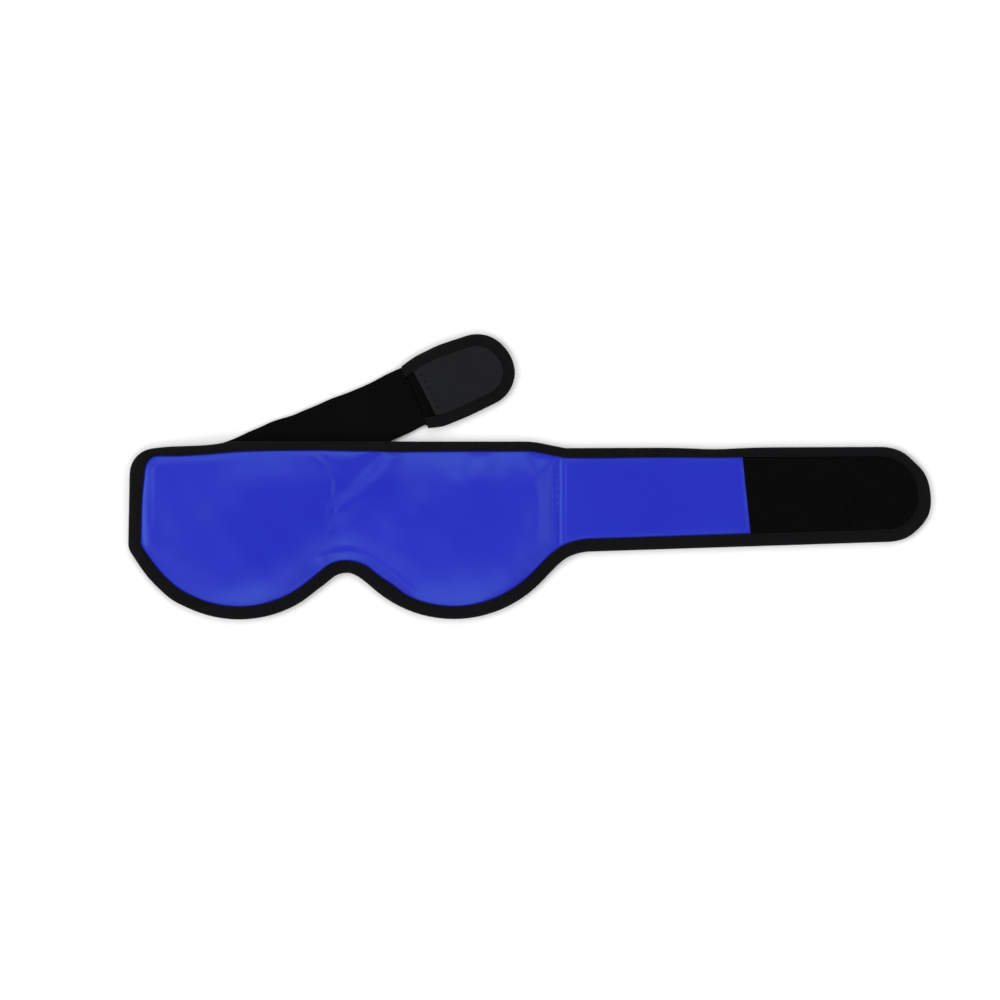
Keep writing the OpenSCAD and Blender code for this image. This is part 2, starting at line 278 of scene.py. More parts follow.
def ribGroup():
    # Threads that cross: |sin| along and across, the one over the other in turn. It gives height, and a gap mask that
    # the finishes use for painted shade between the threads.
    tree = bpy.data.node_groups.new("crossedThreads", "ShaderNodeTree")
    sockets(tree, [("Place", "Vector", None), ("Along", "Float", 0.0006), ("Across", "Float", 0.0006),
                   ("Ribs", "Float", 0.5)], "INPUT")
    sockets(tree, [("Height", "Float", None), ("GapShade", "Float", None)], "OUTPUT")
    start, end = tree.nodes.new("NodeGroupInput"), tree.nodes.new("NodeGroupOutput")
    split = tree.nodes.new("ShaderNodeSeparateXYZ")
    join(tree, start.outputs["Place"], split.inputs[0])
    u = sums(tree, "MULTIPLY", sums(tree, "DIVIDE", split.outputs[0], start.outputs["Along"]), math.pi)
    v = sums(tree, "MULTIPLY", sums(tree, "DIVIDE", split.outputs[1], start.outputs["Across"]), math.pi)
    ribU = sums(tree, "ABSOLUTE", sums(tree, "SINE", u))
    ribV = sums(tree, "ABSOLUTE", sums(tree, "COSINE", v))
    turnOver = sums(tree, "MULTIPLY", sums(tree, "SINE", u), sums(tree, "COSINE", v))
    knit = sums(tree, "MULTIPLY_ADD", turnOver, 0.35, sums(tree, "MULTIPLY", ribU, ribV))
    share = start.outputs["Ribs"]
    rest = sums(tree, "SUBTRACT", 1.0, share)
    height = sums(tree, "ADD", sums(tree, "MULTIPLY", ribU, share), sums(tree, "MULTIPLY", knit, rest))
    join(tree, height, end.inputs["Height"])
    join(tree, sums(tree, "POWER", sums(tree, "SUBTRACT", 1.0, ribU), 3.0), end.inputs["GapShade"])
    return tree


def mottleGroup():
    # Two sizes of noise, put together, give a slow change of shade and a fine speckle.
    tree = bpy.data.node_groups.new("mottledCloth", "ShaderNodeTree")
    sockets(tree, [("Place", "Vector", None), ("Large", "Float", 25.0), ("Fine", "Float", 900.0),
                   ("Speckle", "Float", 0.3), ("Dark", "Color", (0, 0, 0, 1)), ("Light", "Color",
                                                                                (1, 1, 1, 1))],
            "INPUT")
    sockets(tree, [("Colour", "Color", None), ("Shade", "Float", None), ("Fuzz", "Float", None)], "OUTPUT")
    start, end = tree.nodes.new("NodeGroupInput"), tree.nodes.new("NodeGroupOutput")
    slow, fine = tree.nodes.new("ShaderNodeTexNoise"), tree.nodes.new("ShaderNodeTexNoise")
    slow.inputs["Detail"].default_value = 3
    fine.inputs["Detail"].default_value = 2
    for node, scale in ((slow, "Large"), (fine, "Fine")):
        join(tree, start.outputs["Place"], node.inputs["Vector"])
        join(tree, start.outputs[scale], node.inputs["Scale"])
    blend = tree.nodes.new("ShaderNodeMix")
    blend.data_type = "FLOAT"
    join(tree, start.outputs["Speckle"], blend.inputs["Factor"])
    join(tree, slow.outputs[0], blend.inputs["A"])
    join(tree, fine.outputs[0], blend.inputs["B"])
    spread = tree.nodes.new("ShaderNodeMapRange")
    spread.inputs["From Min"].default_value, spread.inputs["From Max"].default_value = 0.3, 0.7
    join(tree, blend.outputs["Result"], spread.inputs["Value"])
    paint = tree.nodes.new("ShaderNodeMix")
    paint.data_type = "RGBA"
    colourSockets = [s for s in paint.inputs if s.type == "RGBA"]
    join(tree, spread.outputs[0], paint.inputs["Factor"])
    join(tree, start.outputs["Dark"], colourSockets[0])
    join(tree, start.outputs["Light"], colourSockets[1])
    join(tree, [s for s in paint.outputs if s.type == "RGBA"][0], end.inputs["Colour"])
    join(tree, spread.outputs[0], end.inputs["Shade"])
    join(tree, fine.outputs[0], end.inputs["Fuzz"])
    return tree


crossedThreads, mottledCloth = ribGroup(), mottleGroup()


def clothFinish(name, dark, light, rough, weave, mottle, bump, level=0.3, sheen=(0.0, 0.5), coat=0.0,
                uv=True, alpha=1.0, glassy=0.0, tint=(1.0, 1.0, 1.0)):
    # weave is (pitch along, pitch across, share of plain ribs, strength of the painted shade in the thread gaps);
    # bump is (strength, depth)
    finish = bpy.data.materials.new(name)
    finish.use_nodes = True
    tree = finish.node_tree
    shader = tree.nodes["Principled BSDF"]
    place = tree.nodes.new("ShaderNodeTexCoord")
    threadsNode = tree.nodes.new("ShaderNodeGroup")
    threadsNode.node_tree = crossedThreads
    mottleNode = tree.nodes.new("ShaderNodeGroup")
    mottleNode.node_tree = mottledCloth
    join(tree, place.outputs["UV" if uv else "Object"], threadsNode.inputs["Place"])
    join(tree, place.outputs["Object"], mottleNode.inputs["Place"])
    threadsNode.inputs["Along"].default_value = weave[0] * 0.001
    threadsNode.inputs["Across"].default_value = weave[1] * 0.001
    threadsNode.inputs["Ribs"].default_value = weave[2]
    mottleNode.inputs["Large"].default_value = mottle[0]
    mottleNode.inputs["Fine"].default_value = mottle[1]
    mottleNode.inputs["Speckle"].default_value = mottle[2]
    mottleNode.inputs["Dark"].default_value = (*dark, 1)
    mottleNode.inputs["Light"].default_value = (*light, 1)
    # painted shade: where the weave has gaps between its threads, the base colour is multiplied towards a quarter
    paintedGapShade = tree.nodes.new("ShaderNodeMix")
    paintedGapShade.data_type, paintedGapShade.blend_type = "RGBA", "MULTIPLY"
    colours = [s for s in paintedGapShade.inputs if s.type == "RGBA"]
    colours[1].default_value = (0.25, 0.25, 0.25, 1)
    join(tree, sums(tree, "MULTIPLY", threadsNode.outputs["GapShade"], weave[3]), paintedGapShade.inputs["Factor"])
    join(tree, mottleNode.outputs["Colour"], colours[0])
    join(tree, [s for s in paintedGapShade.outputs if s.type == "RGBA"][0], shader.inputs["Base Color"])
    join(tree, sums(tree, "MULTIPLY_ADD", mottleNode.outputs["Shade"], rough[1] - rough[0], rough[0]),
         shader.inputs["Roughness"])
    relief = tree.nodes.new("ShaderNodeBump")
    relief.inputs["Strength"].default_value = bump[0]
    relief.inputs["Distance"].default_value = bump[1] * 0.001
    join(tree, sums(tree, "MULTIPLY_ADD", mottleNode.outputs["Fuzz"], bump[2], threadsNode.outputs["Height"]),
         relief.inputs["Height"])
    join(tree, relief.outputs[0], shader.inputs["Normal"])
    shader.inputs["Specular IOR Level"].default_value = level
    shader.inputs["Specular Tint"].default_value = (*tint, 1)
    shader.inputs["Sheen Weight"].default_value = sheen[0]
    shader.inputs["Sheen Roughness"].default_value = sheen[1]
    shader.inputs["Coat Weight"].default_value = coat
    shader.inputs["Alpha"].default_value = alpha
    shader.inputs["Transmission Weight"].default_value = glassy
    return finish


faceCloth = clothFinish("blueFaceCloth", (0.0122, 0.0122, 0.432), (0.0142, 0.0146, 0.458), (0.40, 0.47),
                        (0.42, 0.55, 0.2, 0.25), (16, 1500, 0.35), (0.10, 0.05, 0.6), level=0.66,
                        sheen=(0.02, 0.35), tint=(0.3, 0.62, 1.0))
tapeCloth = clothFinish("blackTape", (0.0029, 0.0029, 0.0036), (0.0056, 0.0055, 0.0064), (0.75, 0.9),
                        (0.62, 0.9, 0.75, 0.45), (40, 1800, 0.5), (0.35, 0.16, 0.8), level=0.05,
                        sheen=(0.02, 0.5))
backCloth = clothFinish("blackBackCloth", (0.0035, 0.0035, 0.004), (0.006, 0.006, 0.007), (0.8, 0.92),
                        (0.5, 0.62, 0.25, 0.4), (22, 1500, 0.5), (0.3, 0.12, 0.8), level=0.14,
                        sheen=(0.02, 0.5))
elasticCloth = clothFinish("knittedElastic", (0.0016, 0.0016, 0.0018), (0.0032, 0.0032, 0.0035), (0.72, 0.88),
                           (1.1, 0.7, 0.55, 0.5), (30, 1400, 0.4), (0.5, 0.25, 0.5), level=0.02,
                           sheen=(0.012, 0.5))
loopPile = clothFinish("loopPile", (0.0008, 0.0008, 0.0009), (0.0022, 0.0022, 0.0024), (0.9, 1.0),
                       (0.7, 0.8, 0.0, 0.2), (60, 1100, 0.75), (0.7, 0.5, 2.5), level=0.05,
                       sheen=(0.006, 0.6))
hookBase = clothFinish("hookBase", (0.0095, 0.01, 0.0108), (0.0127, 0.0134, 0.0144), (0.55, 0.7),
                       (0.9, 0.9, 0.3, 0.3), (45, 1500, 0.4), (0.4, 0.2, 0.6), level=0.06)
hookWire = clothFinish("hookWire", (0.012, 0.0127, 0.0138), (0.018, 0.019, 0.0205), (0.35, 0.5),
                       (0.4, 0.4, 0.2, 0.1), (60, 900, 0.5), (0.1, 0.05, 0.5), level=0.12)
darkThread = clothFinish("darkThread", (0.0025, 0.0025, 0.0029), (0.0055, 0.0055, 0.006), (0.7, 0.85),
                         (0.25, 0.35, 0.3, 0.4), (90, 2500, 0.5), (0.4, 0.08, 0.5), level=0.07)
blueThread = clothFinish("blueThread", (0.006, 0.011, 0.3), (0.009, 0.015, 0.38), (0.45, 0.6),
                         (0.25, 0.35, 0.3, 0.4), (90, 2500, 0.5), (0.4, 0.08, 0.5), level=0.3)
coreFoam = clothFinish("coreFoam", (0.01, 0.01, 0.011), (0.02, 0.02, 0.022), (0.85, 0.95),
                       (0.9, 0.9, 0.0, 0.3), (50, 1500, 0.7), (0.5, 0.3, 1.5), level=0.1, uv=False)
pouchFilm = clothFinish("pouchFilm", (0.72, 0.8, 0.86), (0.86, 0.9, 0.94), (0.12, 0.22),
                        (3, 3, 0.0, 0.0), (35, 400, 0.3), (0.05, 0.1, 1.0), level=0.5, alpha=0.55)
gelFill = clothFinish("gelFill", (0.10, 0.33, 0.66), (0.16, 0.42, 0.74), (0.06, 0.16),
                      (4, 4, 0.0, 0.0), (20, 300, 0.2), (0.03, 0.2, 1.0), level=0.5, coat=0.3)
print("finishes made")

# ---- the face cover
face = {
    "columns": 340, "rows": 120,
    "tuck": 3.0,              # inset of its hidden edge under the tape
    "thickness": 1.4,
    "rise": 2.7, "reach": 3.6, "seamReach": 6,    # steep part beside the tape: its height, and how fast it levels out
    # more height over each gel pack: centre, half widths, height
    "lobes": [[-31, -5, 56, 33, 3.0], [60, -8, 46, 30, 2.8]],
    "bridge": [4, -12, 15, 2.1],   # the cover is lower over the nose
    # soft folds: points, half width, height, and 1 for a step that is higher on the line's left or 0 for a
    # ridge
    "folds": [
        [[[-16, 27], [-9.5, 21], [-6.6, 13.6], [-6.6, 5], [-8.2, -10]], 1.2, -0.42, 1],
        [[[19, 27], [12, 17], [3, 8], [-5, 2]], 4.0, 1.5, 1],
        [[[17, -12], [18, -13]], 5.0, -0.75, 0],
        [[[-12, -24.4], [-7, -22.2], [1, -20.9], [9, -22.6], [17, -28], [25, -34.5], [32, -41]], 1.4, 0.6, 0],
        [[[12, -29], [20, -35.5], [27, -41.5]], 0.9, 0.2, 0],
        [[[85, 27], [91, 15], [93.6, -2], [92, -20]], 1.7, 0.42, 0],
        [[[82, 4], [83, -8]], 8, -0.75, 0],
        [[[62, 13], [64, 11]], 6, 0.55, 0],
        [[[38, -1], [51, -10]], 5.5, 0.5, 0],
        [[[22, 13], [34, 3]], 3.4, 0.3, 0],
        [[[56, 24], [54, 18]], 3.0, -0.45, 0],
        [[[74, 26], [73, 19]], 3.0, -0.4, 0],
        [[[26, -14], [34, -18]], 4, -0.35, 0],
        [[[-94.6, 22], [-94.9, 5], [-95, -8]], 0.8, -0.12, 0],
        [[[-62, 24], [-70, -4], [-60, -30]], 8, -0.35, 0],
        [[[-84, 24], [-78, 14]], 5, -0.4, 0],
        [[[-24, -36], [-18, -30]], 3.2, -0.4, 0],
        [[[-40, 27], [-12, 27]], 1.6, 0.2, 0],
        [[[99.7, 27], [99.8, 2], [99.9, -22]], 0.7, -0.5, 0],
    ],
    "waves": [[61, 12, 0.26, 1.0], [43, 71, 0.22, 2.1], [29, 128, 0.17, 0.4], [17, 35, 0.07, 2.7]],
    "puff": 0.6,              # most that the cloth simulation may move a point
}


def foldHeight(x, y, folds):
    # a ridge is the bell e^(-a^2/2) across its line, a step is a e^(-a^2/2), with a in widths
    z = np.zeros_like(x)
    for line, width, height, step in folds:
        p = np.array(line, float)
        best, side = np.full(x.shape, 1e9), np.ones_like(x)
        for k in range(len(p) - 1):
            v = p[k + 1] - p[k]
            dx, dy = x - p[k, 0], y - p[k, 1]
            t = np.clip((dx * v[0] + dy * v[1]) / (v @ v), 0, 1)
            gap = (dx - t * v[0]) ** 2 + (dy - t * v[1]) ** 2
            closer = gap < best
            best = np.where(closer, gap, best)
            side = np.where(closer, (v[0] * dy - v[1] * dx) / math.sqrt(v @ v), side)
        z = z + height * np.exp(-best / width ** 2 / 2) * (side / width if step else 1)
    return z


faceRing = outline(pillow["plan"], tapeSize["width"])


def faceTop(x, y, d):
    # height over the tape's inner edge: rise (1 - e^(-d/reach)), plus a crown over each gel pack, folds and
    # waves
    inside = np.maximum(d, 0)
    reach = face["reach"] + face["seamReach"] * smooth((x - 78) / 16)
    z = face["rise"] * (1 - np.exp(-inside / reach))
    soft = 1 - np.exp(-(inside / 9) ** 2)
    for cx, cy, rx, ry, high in face["lobes"]:
        z = z + high * soft * np.exp(-(((x - cx) / rx) ** 2 + ((y - cy) / ry) ** 2) ** 1.5)
    bx, by, width, drop = face["bridge"]
    z = z - drop * smooth(inside / 8) * np.exp(-((x - bx) / width) ** 2 - ((y - by) / (1.6 * width)) ** 2)
    z = z + (foldHeight(x, y, face["folds"]) + ripple(x, y, face["waves"])) * smooth(inside / 3)
    settle = 1 - np.exp(-(inside / 7) ** 2)
    return pillow["rimTop"] - 0.07 + z - sink(x, y) * (1 - settle) - drape["sunk"] * settle


def patchGrid(plan, inset, columns, rows, left, right):
    # Coons patch between the bottom, top, left and right parts of an outline
    ring = outline(plan, inset)[:-1]
    corners = [np.array(c, float) for c in left + right]      # bottom left, top left, bottom right, top right
    near = [int(np.argmin(((ring - c) ** 2).sum(1))) for c in corners]

    def part(a, b, axis, count, ways):
        line = np.roll(ring, -a, 0)[:(b - a) % len(ring) + 1]
        line = line if line[-1, axis] >= line[0, axis] else line[::-1]
        t = np.linspace(line[0, axis], line[-1, axis], count) if ways is None else ways
        return np.stack([np.interp(t, line[:, axis], line[:, k]) for k in (0, 1)], 1)

    bottom = part(near[0], near[2], 0, columns, None)
    top = part(near[3], near[1], 0, columns, None)
    west = part(near[1], near[0], 1, rows, None)
    east = part(near[2], near[3], 1, rows, None)
    u, v = np.linspace(0, 1, columns)[:, None, None], np.linspace(0, 1, rows)[None, :, None]
    grid = (1 - v) * bottom[:, None] + v * top[:, None] + (1 - u) * west[None] + u * east[None]
    return grid - ((1 - u) * (1 - v) * bottom[0] + u * (1 - v) * bottom[-1] + (1 - u) * v * top[0] + u * v * top[-1])


def padGrid(inset, columns, rows):
    return patchGrid(pillow["plan"], inset, columns, rows, [[-103, -19], [-101.5, 26]],
                     [[pillow["seamX"], -22], [pillow["seamX"], 27]])


def layer(xy, z):
    return np.concatenate([xy, z[..., None]], -1)


def puff(xy, z, free):
    # cloth simulation on a coarse copy of the grid: pressure from the gel lifts it, its rim stays pinned
    n, m = xy.shape[:2]
    piece = makeMesh("puffing", layer(xy, z).reshape(-1, 3), [gridFaces(n, m, False)],
                     np.zeros(((n - 1) * (m - 1) * 4, 2)), faceCloth)
    pinned = piece.vertex_groups.new(name="pinned")
    held = np.nonzero(free.ravel() < 0.5)[0]
    pinned.add(held.tolist(), 1.0, "REPLACE")
    cloth = piece.modifiers.new("cloth", "CLOTH")
    cloth.settings.vertex_group_mass = "pinned"
    cloth.settings.use_pressure = True
    cloth.settings.uniform_pressure_force = 4
    cloth.settings.effector_weights.gravity = 0
    cloth.settings.tension_stiffness = cloth.settings.compression_stiffness = 12
    cloth.settings.bending_stiffness = 0.4
    cloth.settings.quality = 6
    cloth.settings.shrink_min = -0.012
    scene = bpy.context.scene
    for k in range(1, 21):
        scene.frame_set(k)
    shape = piece.evaluated_get(bpy.context.evaluated_depsgraph_get()).to_mesh()
    moved = np.empty(n * m * 3, np.float32)
    shape.vertices.foreach_get("co", moved)
    moved = moved.reshape(n, m, 3)[..., 2] * 1000 - z
    scene.frame_set(1)
    bpy.data.objects.remove(piece, do_unlink=True)
    return moved


def relax(values, times):
    # each inner grid point takes the mean of itself and its neighbours, over and over; the rim stays
    values = values.copy()
    for k in range(times):
        around = values[:-2, 1:-1] + values[2:, 1:-1] + values[1:-1, :-2] + values[1:-1, 2:]
        values[1:-1, 1:-1] = (2 * values[1:-1, 1:-1] + around) / 6
    return values


def finer(values, n, m):
    # coarse grid values between their places on a finer grid
    rows, cols = np.linspace(0, values.shape[0] - 1, n), np.linspace(0, values.shape[1] - 1, m)
    i, j = np.minimum(rows.astype(int), values.shape[0] - 2), np.minimum(cols.astype(int),
                                                                         values.shape[1] - 2)
    a, b = smooth(rows - i)[:, None], smooth(cols - j)[None]
    top = values[i][:, j] * (1 - b) + values[i][:, j + 1] * b
    low = values[i + 1][:, j] * (1 - b) + values[i + 1][:, j + 1] * b
    return top * (1 - a) + low * a


padXy = padGrid(face["tuck"], face["columns"], face["rows"])
padDepth = relax(depth(padXy, faceRing), 14)
padZ = faceTop(padXy[..., 0], padXy[..., 1], padDepth)
puffed = None
coarse = padXy[::3, ::3]
coarseDepth = padDepth[::3, ::3]
puffed = puff(coarse, padZ[::3, ::3], (coarseDepth > 1.0).astype(float))
print("cloth moved", round(float(puffed.min()), 2), "to", round(float(puffed.max()), 2), "mm")
full = finer(face["puff"] * np.tanh(relax(puffed, 14) / 2.2), *padXy.shape[:2])
padZ = padZ + full * smooth(padDepth / 5)


def padSurface(xy, z, thickness):
    inner = z - thickness
    return layer(xy, z), layer(xy, inner)


faceOuter, faceInner = padSurface(padXy, padZ, face["thickness"])
faceCover = shell("faceCover", faceOuter, faceInner, padXy, faceCloth)
print("face cover made")


def topOfPad(x, y, grid=padXy, z=padZ):
    # height of the finished face at a place, from the nearest point of its grid
    flat, points = grid.reshape(-1, 2), np.stack([np.ravel(x), np.ravel(y)], 1)
    near = np.concatenate([((flat[None] - points[k:k + 40, None]) ** 2).sum(2).argmin(1)
                           for k in range(0, len(points), 40)])
    return z.ravel()[near].reshape(np.shape(x))


# ---- the back cloth, which rests on the folded strap and on the surface
backXy = padGrid(face["tuck"], 190, 74)
backX, backY = backXy[..., 0], backXy[..., 1]
backDepth = np.maximum(depth(backXy, faceRing), 0)
backZ = under(backX, backY) + 0.08 + 0.62 * np.exp(-backDepth / 5)
backPanel = shell("backCloth", layer(backXy, backZ + 0.65), layer(backXy, backZ), backXy, backCloth)

# ---- gel packs, each a sealed pouch of film round its gel
pack = {"rings": 26, "points": 150, "inset": 7.2, "film": 0.25, "flange": 3.6, "top": 0.35}


def packRings(centre, outerLine, count):
    # rings that shrink from the outline to the pack's middle
    t = np.linspace(1, 0, count) ** 0.8
    return np.array(centre) + t[None, :, None] * (outerLine[:, None] - np.array(centre))


def gelPack(side, centre, low, high):
    ring = outline(pillow["plan"], pack["inset"])[:-1]
    ring = ring[(ring[:, 0] > low) & (ring[:, 0] < high)]
    start = int(np.argmax(np.linalg.norm(np.roll(ring, -1, 0) - ring, axis=1))) + 1
    ring = np.roll(ring, -start, 0)
    closed = np.concatenate([ring, ring[:1]])
    line = along(closed, closed, np.linspace(0, runLength(closed)[-1], pack["points"]))
    xy = packRings(centre, line, pack["rings"])
    x, y = xy[..., 0], xy[..., 1]
    lid = topOfPad(x, y) - face["thickness"] - pack["top"]
    floorZ = under(x, y) + 0.08 + 0.62 * np.exp(-np.maximum(depth(xy, faceRing), 0) / 5) + 0.72
    inward = np.maximum(depth(xy, closed), 0)
    swell = smooth((inward - pack["flange"]) / 7)
    film = pack["film"]
    mid = floorZ + film
    lid = np.maximum(mid + (lid - mid) * swell, mid + film)
    finishes = ((f"pouchBack{side}", mid, floorZ, pouchFilm),
                (f"pouchFront{side}", lid, lid - film, pouchFilm))
    made = [polarShell(name, xy, a, b, finish) for name, a, b, finish in finishes]
    core = inward > pack["flange"] + 0.5
    first = int(np.argmax(core.all(0)))
    inner = xy[:, first:]
    gelHigh = np.maximum(lid[:, first:] - film - 0.06, mid[:, first:] + 0.1)
    made.append(polarShell(f"gel{side}", inner, gelHigh, mid[:, first:] + 0.05, gelFill))
    return made


def polarShell(name, xy, high, low, finish):
    # closed body over rings that end on one middle point, above and below
    xy, high, low = xy[:-1], high[:-1], low[:-1]
    n, m = xy.shape[:2]
    grid = np.concatenate([layer(xy[:, ::-1], high[:, ::-1])[:, 1:], layer(xy, low)[:, :-1]], 1)
    count = grid.shape[1]
    points = np.concatenate([grid.reshape(-1, 3), layer(xy[:1, -1], high[:1, -1]),
                             layer(xy[:1, -1], low[:1, -1])])
    r, c = np.meshgrid(np.arange(n), np.arange(count - 1), indexing="ij")
    r, c = r.ravel(), c.ravel()
    after = (r + 1) % n
    squares = np.stack([r * count + c, after * count + c, after * count + c + 1, r * count + c + 1], 1)
    k = np.arange(n)
    j = (k + 1) % n
    fans = np.concatenate([np.stack([k * count, np.full(n, n * count), j * count], 1),
                           np.stack([j * count + count - 1, np.full(n, n * count + 1),
                                     k * count + count - 1], 1)])
    return makeMesh(name, points, [squares, fans],
                    np.concatenate([points[squares.ravel(), :2], points[fans.ravel(), :2]]), finish)


packs = {"Left": gelPack("Left", face["lobes"][0][:2], -200, -1.2),
         "Right": gelPack("Right", face["lobes"][1][:2], 1.2, 200)}
print("back cloth and gel packs made")

# ---- the tape round the pillow and the right strap: one run, cut where both lie flat
whole = pillow["plan"][:7] + [[102.8, -27, 30, 1]] + strap["plan"][1:6] + [pillow["plan"][-1]]


def tapeSection(width, height, thickness):
    # folded tape as two lines of (distance from the edge, height), outside and inside, from the lower lip
    # to the upper
    def side(r, low, high, first):
        leg = np.linspace(width, first + r, 11)
        turn = np.linspace(-math.pi / 2, -3 * math.pi / 2, 11)[1:-1]
        bend = np.stack([first + r + r * np.cos(turn), (low + high) / 2 + r * np.sin(turn)], 1)
        flat = np.stack([leg, np.full(11, low)], 1)
        return np.concatenate([flat, bend, np.stack([leg[::-1], np.full(11, high)], 1)])
    return side(height / 2, 0, height, 0), side(height / 2 - thickness, thickness, height - thickness,
                                                thickness)


def tapeShape(plan, s, spec, drop, closed=True):
    # the section carried along an outline, with a crown, a dent at the stitches and a slightly uneven edge
    guide = outline(plan, 0)
    guide = guide if closed else guide[:-1]
    total = runLength(guide)[-1]
    out = []
    for section in tapeSection(spec["width"], spec["height"], spec["thickness"]):
        rows = []
        for d, h in section:
            line = outline(plan, d)
            line = line if closed else line[:-1]
            p = along(line, guide, np.mod(s, total) if closed else s)
            upper = smooth((h - spec["height"] * 0.4) / (spec["height"] * 0.3))
            crown = 0.16 * math.sin(math.pi * min(max((d - 1) / (spec["width"] - 1), 0), 1)) ** 0.7
            dent = -0.2 * math.exp(-((d - spec["width"] + 1.2) / 0.55) ** 2)
            pucker = 0.05 * np.cos(2 * math.pi * s / spec["pitch"]) * math.exp(-((d - spec["width"] + 0.9) / 0.9) ** 2)
            uneven = 0.10 * np.sin(s / 9.3) + 0.07 * np.sin(s / 3.7 + 1)
            z = h + upper * (crown + dent + pucker + 0.5 * uneven * d / spec["width"])
            rows.append(np.concatenate([p, (z + spec["low"] - drop(p[:, 0], p[:, 1]))[:, None]], 1))
        out.append(np.stack(rows, 1))
    length = runLength(tapeSection(spec["width"], spec["height"], spec["thickness"])[0])
    uv = np.stack(np.broadcast_arrays(s[:, None], length[None]), -1)
    return out[0], out[1], uv


wholeGuide = outline(whole)
wholeRun = runLength(wholeGuide)
crossing = np.nonzero(np.diff(np.sign(wholeGuide[:, 0] - tapeSize["join"])))[0]


def joinAt(k):
    a, b = wholeGuide[k], wholeGuide[k + 1]
    return wholeRun[k] + (tapeSize["join"] - a[0]) / (b[0] - a[0]) * (wholeRun[k + 1] - wholeRun[k])


lowJoin, highJoin = sorted(joinAt(k) for k in crossing)
padS = np.arange(highJoin - wholeRun[-1], lowJoin, 0.9)
padS = np.linspace(highJoin - wholeRun[-1], lowJoin, len(padS))
strapS = np.linspace(lowJoin, highJoin, len(np.arange(lowJoin, highJoin, 0.9)))
outer, inner, uv = tapeShape(whole, padS, tapeSize, sink)
padTape = shell("pillowTape", outer, inner, uv, tapeCloth, 60)
strapTapeOuter, strapTapeInner, strapTapeUv = tapeShape(whole, strapS, tapeSize, sink)
strapTape = shell("strapTape", strapTapeOuter, strapTapeInner, strapTapeUv, tapeCloth, 60)


def stitchesOn(name, plan, s, spec, drop, pitch, finish, closed=True):
    # one stitch every pitch, in the dent of the tape's upper leg
    count = int((s[-1] - s[0]) // pitch)
    at = s[0] + (np.arange(count) + 0.5) * (s[-1] - s[0]) / count
    guide = outline(plan, 0)
    line = outline(plan, spec["width"] - 1.2)
    if not closed:
        guide, line = guide[:-1], line[:-1]
    total = runLength(guide)[-1] if closed else 1e9
    here = along(line, guide, np.mod(at, total))
    ahead = along(line, guide, np.mod(at + 0.5, total))
    z = spec["low"] + spec["height"] - 0.1 - drop(here[:, 0], here[:, 1])
    ways = np.concatenate([ahead - here, np.zeros((count, 1))], 1)
    return threads(name, np.concatenate([here, z[:, None]], 1), ways, finish)


padStitches = stitchesOn("pillowTapeStitches", whole, padS, tapeSize, sink, tapeSize["pitch"], darkThread)
strapStitches = stitchesOn("strapTapeStitches", whole, strapS, tapeSize, sink, tapeSize["pitch"], darkThread)
print("tapes made")

# ---- the right strap: lining, foam, blue face and loop patch
loopSpec = {"columns": 190, "rows": 88, "high": 1.1, "tufts": 0.22}
strapRing = outline(strap["plan"], tapeSize["width"])


def loopX(y):
    # the loop patch starts on a slightly slanted line
    return strap["loopStart"][0] - (y - strap["loopStart"][1]) * strap["loopSlant"] / 38


def strapGrid(inset, columns, rows, start, end):
    # columns across the strap between its two edges, from start(y) to end, or to its round end
    ring = outline(strap["plan"], inset)[:-1]
    tip = int(np.argmax(ring[:, 0]))
    middle = 7.0
    lowEdge = ring[:tip + 1]
    lowEdge = lowEdge[np.argsort(lowEdge[:, 0], kind="stable")]
    highEdge = ring[tip:][::-1]
    highEdge = highEdge[np.argsort(highEdge[:, 0], kind="stable")]
    last = min(end, ring[:, 0].max() - 0.02)
    u = np.linspace(0, 1, columns)
    if end > ring[:, 0].max():
        u = 1 - (1 - u) ** 1.35 if columns > 20 else u
    v = np.linspace(0, 1, rows)
    x0 = start(middle) + (last - start(middle)) * u
    yLow = np.interp(x0, lowEdge[:, 0], lowEdge[:, 1])
    yHigh = np.interp(x0, highEdge[:, 0], highEdge[:, 1])
    y = yLow[:, None] + (yHigh - yLow)[:, None] * v
    first = start(y)
    x = first + (last - first) * u[:, None]
    return np.stack([x, y], -1)


def strapSheet(name, inset, columns, rows, start, end, low, thickness, finish, height=None):
    xy = strapGrid(inset, columns, rows, start, end)
    x, y = xy[..., 0], xy[..., 1]
    z = low - sink(x, y)
    top = z + thickness
    if height is not None:
        top = top + height(x, y, np.maximum(depth(xy, strapRing), 0))
    return shell(name, layer(xy, top), layer(xy, z), xy, finish)


def strapPuff(x, y, d):
    # low crown between the tapes, with two faint pulls beside the seam and shallow waves
    seam = 0.28 * np.exp(-((x - 104.3) / 0.7) ** 2) + 0.22 * np.exp(-((x - 106.8) / 0.8) ** 2)
    press = 1 - np.exp(-np.maximum(x - pillow["seamX"], 0) / 0.8)
    z = 0.75 * (1 - np.exp(-d / 2.2)) + ripple(x, y,
                                               [[34, 8, 0.05, 0.4], [19, 80, 0.03, 1.3]]) * smooth(d / 3)
    near = loopX(y) - x
    return (z + seam * smooth(d / 2)) * press * smooth(near / 3 + 0.25)


def pileHeight(x, y, d):
    # soft pile: three seeded sets of waves make tufts, lower at the rim and at the stitched channel
    rng = np.random.default_rng(7)
    z = np.zeros_like(x)
    for k in range(26):
        length, turn, start = rng.uniform(0.9, 3.4), rng.uniform(0, 180), rng.uniform(0, 6.3)
        z = z + ripple(x, y, [[length, turn, loopSpec["tufts"] * 0.22, start]])
    channel = np.exp(-((x - loopX(y) - 1.6) / 0.55) ** 2)
    rim = smooth((x - loopX(y)) / 0.7 + 0.3)
    return (loopSpec["high"] * (1 - np.exp(-d / 0.5)) * rim + z * smooth(d / 1.5)) * (1 - 0.55 * channel)


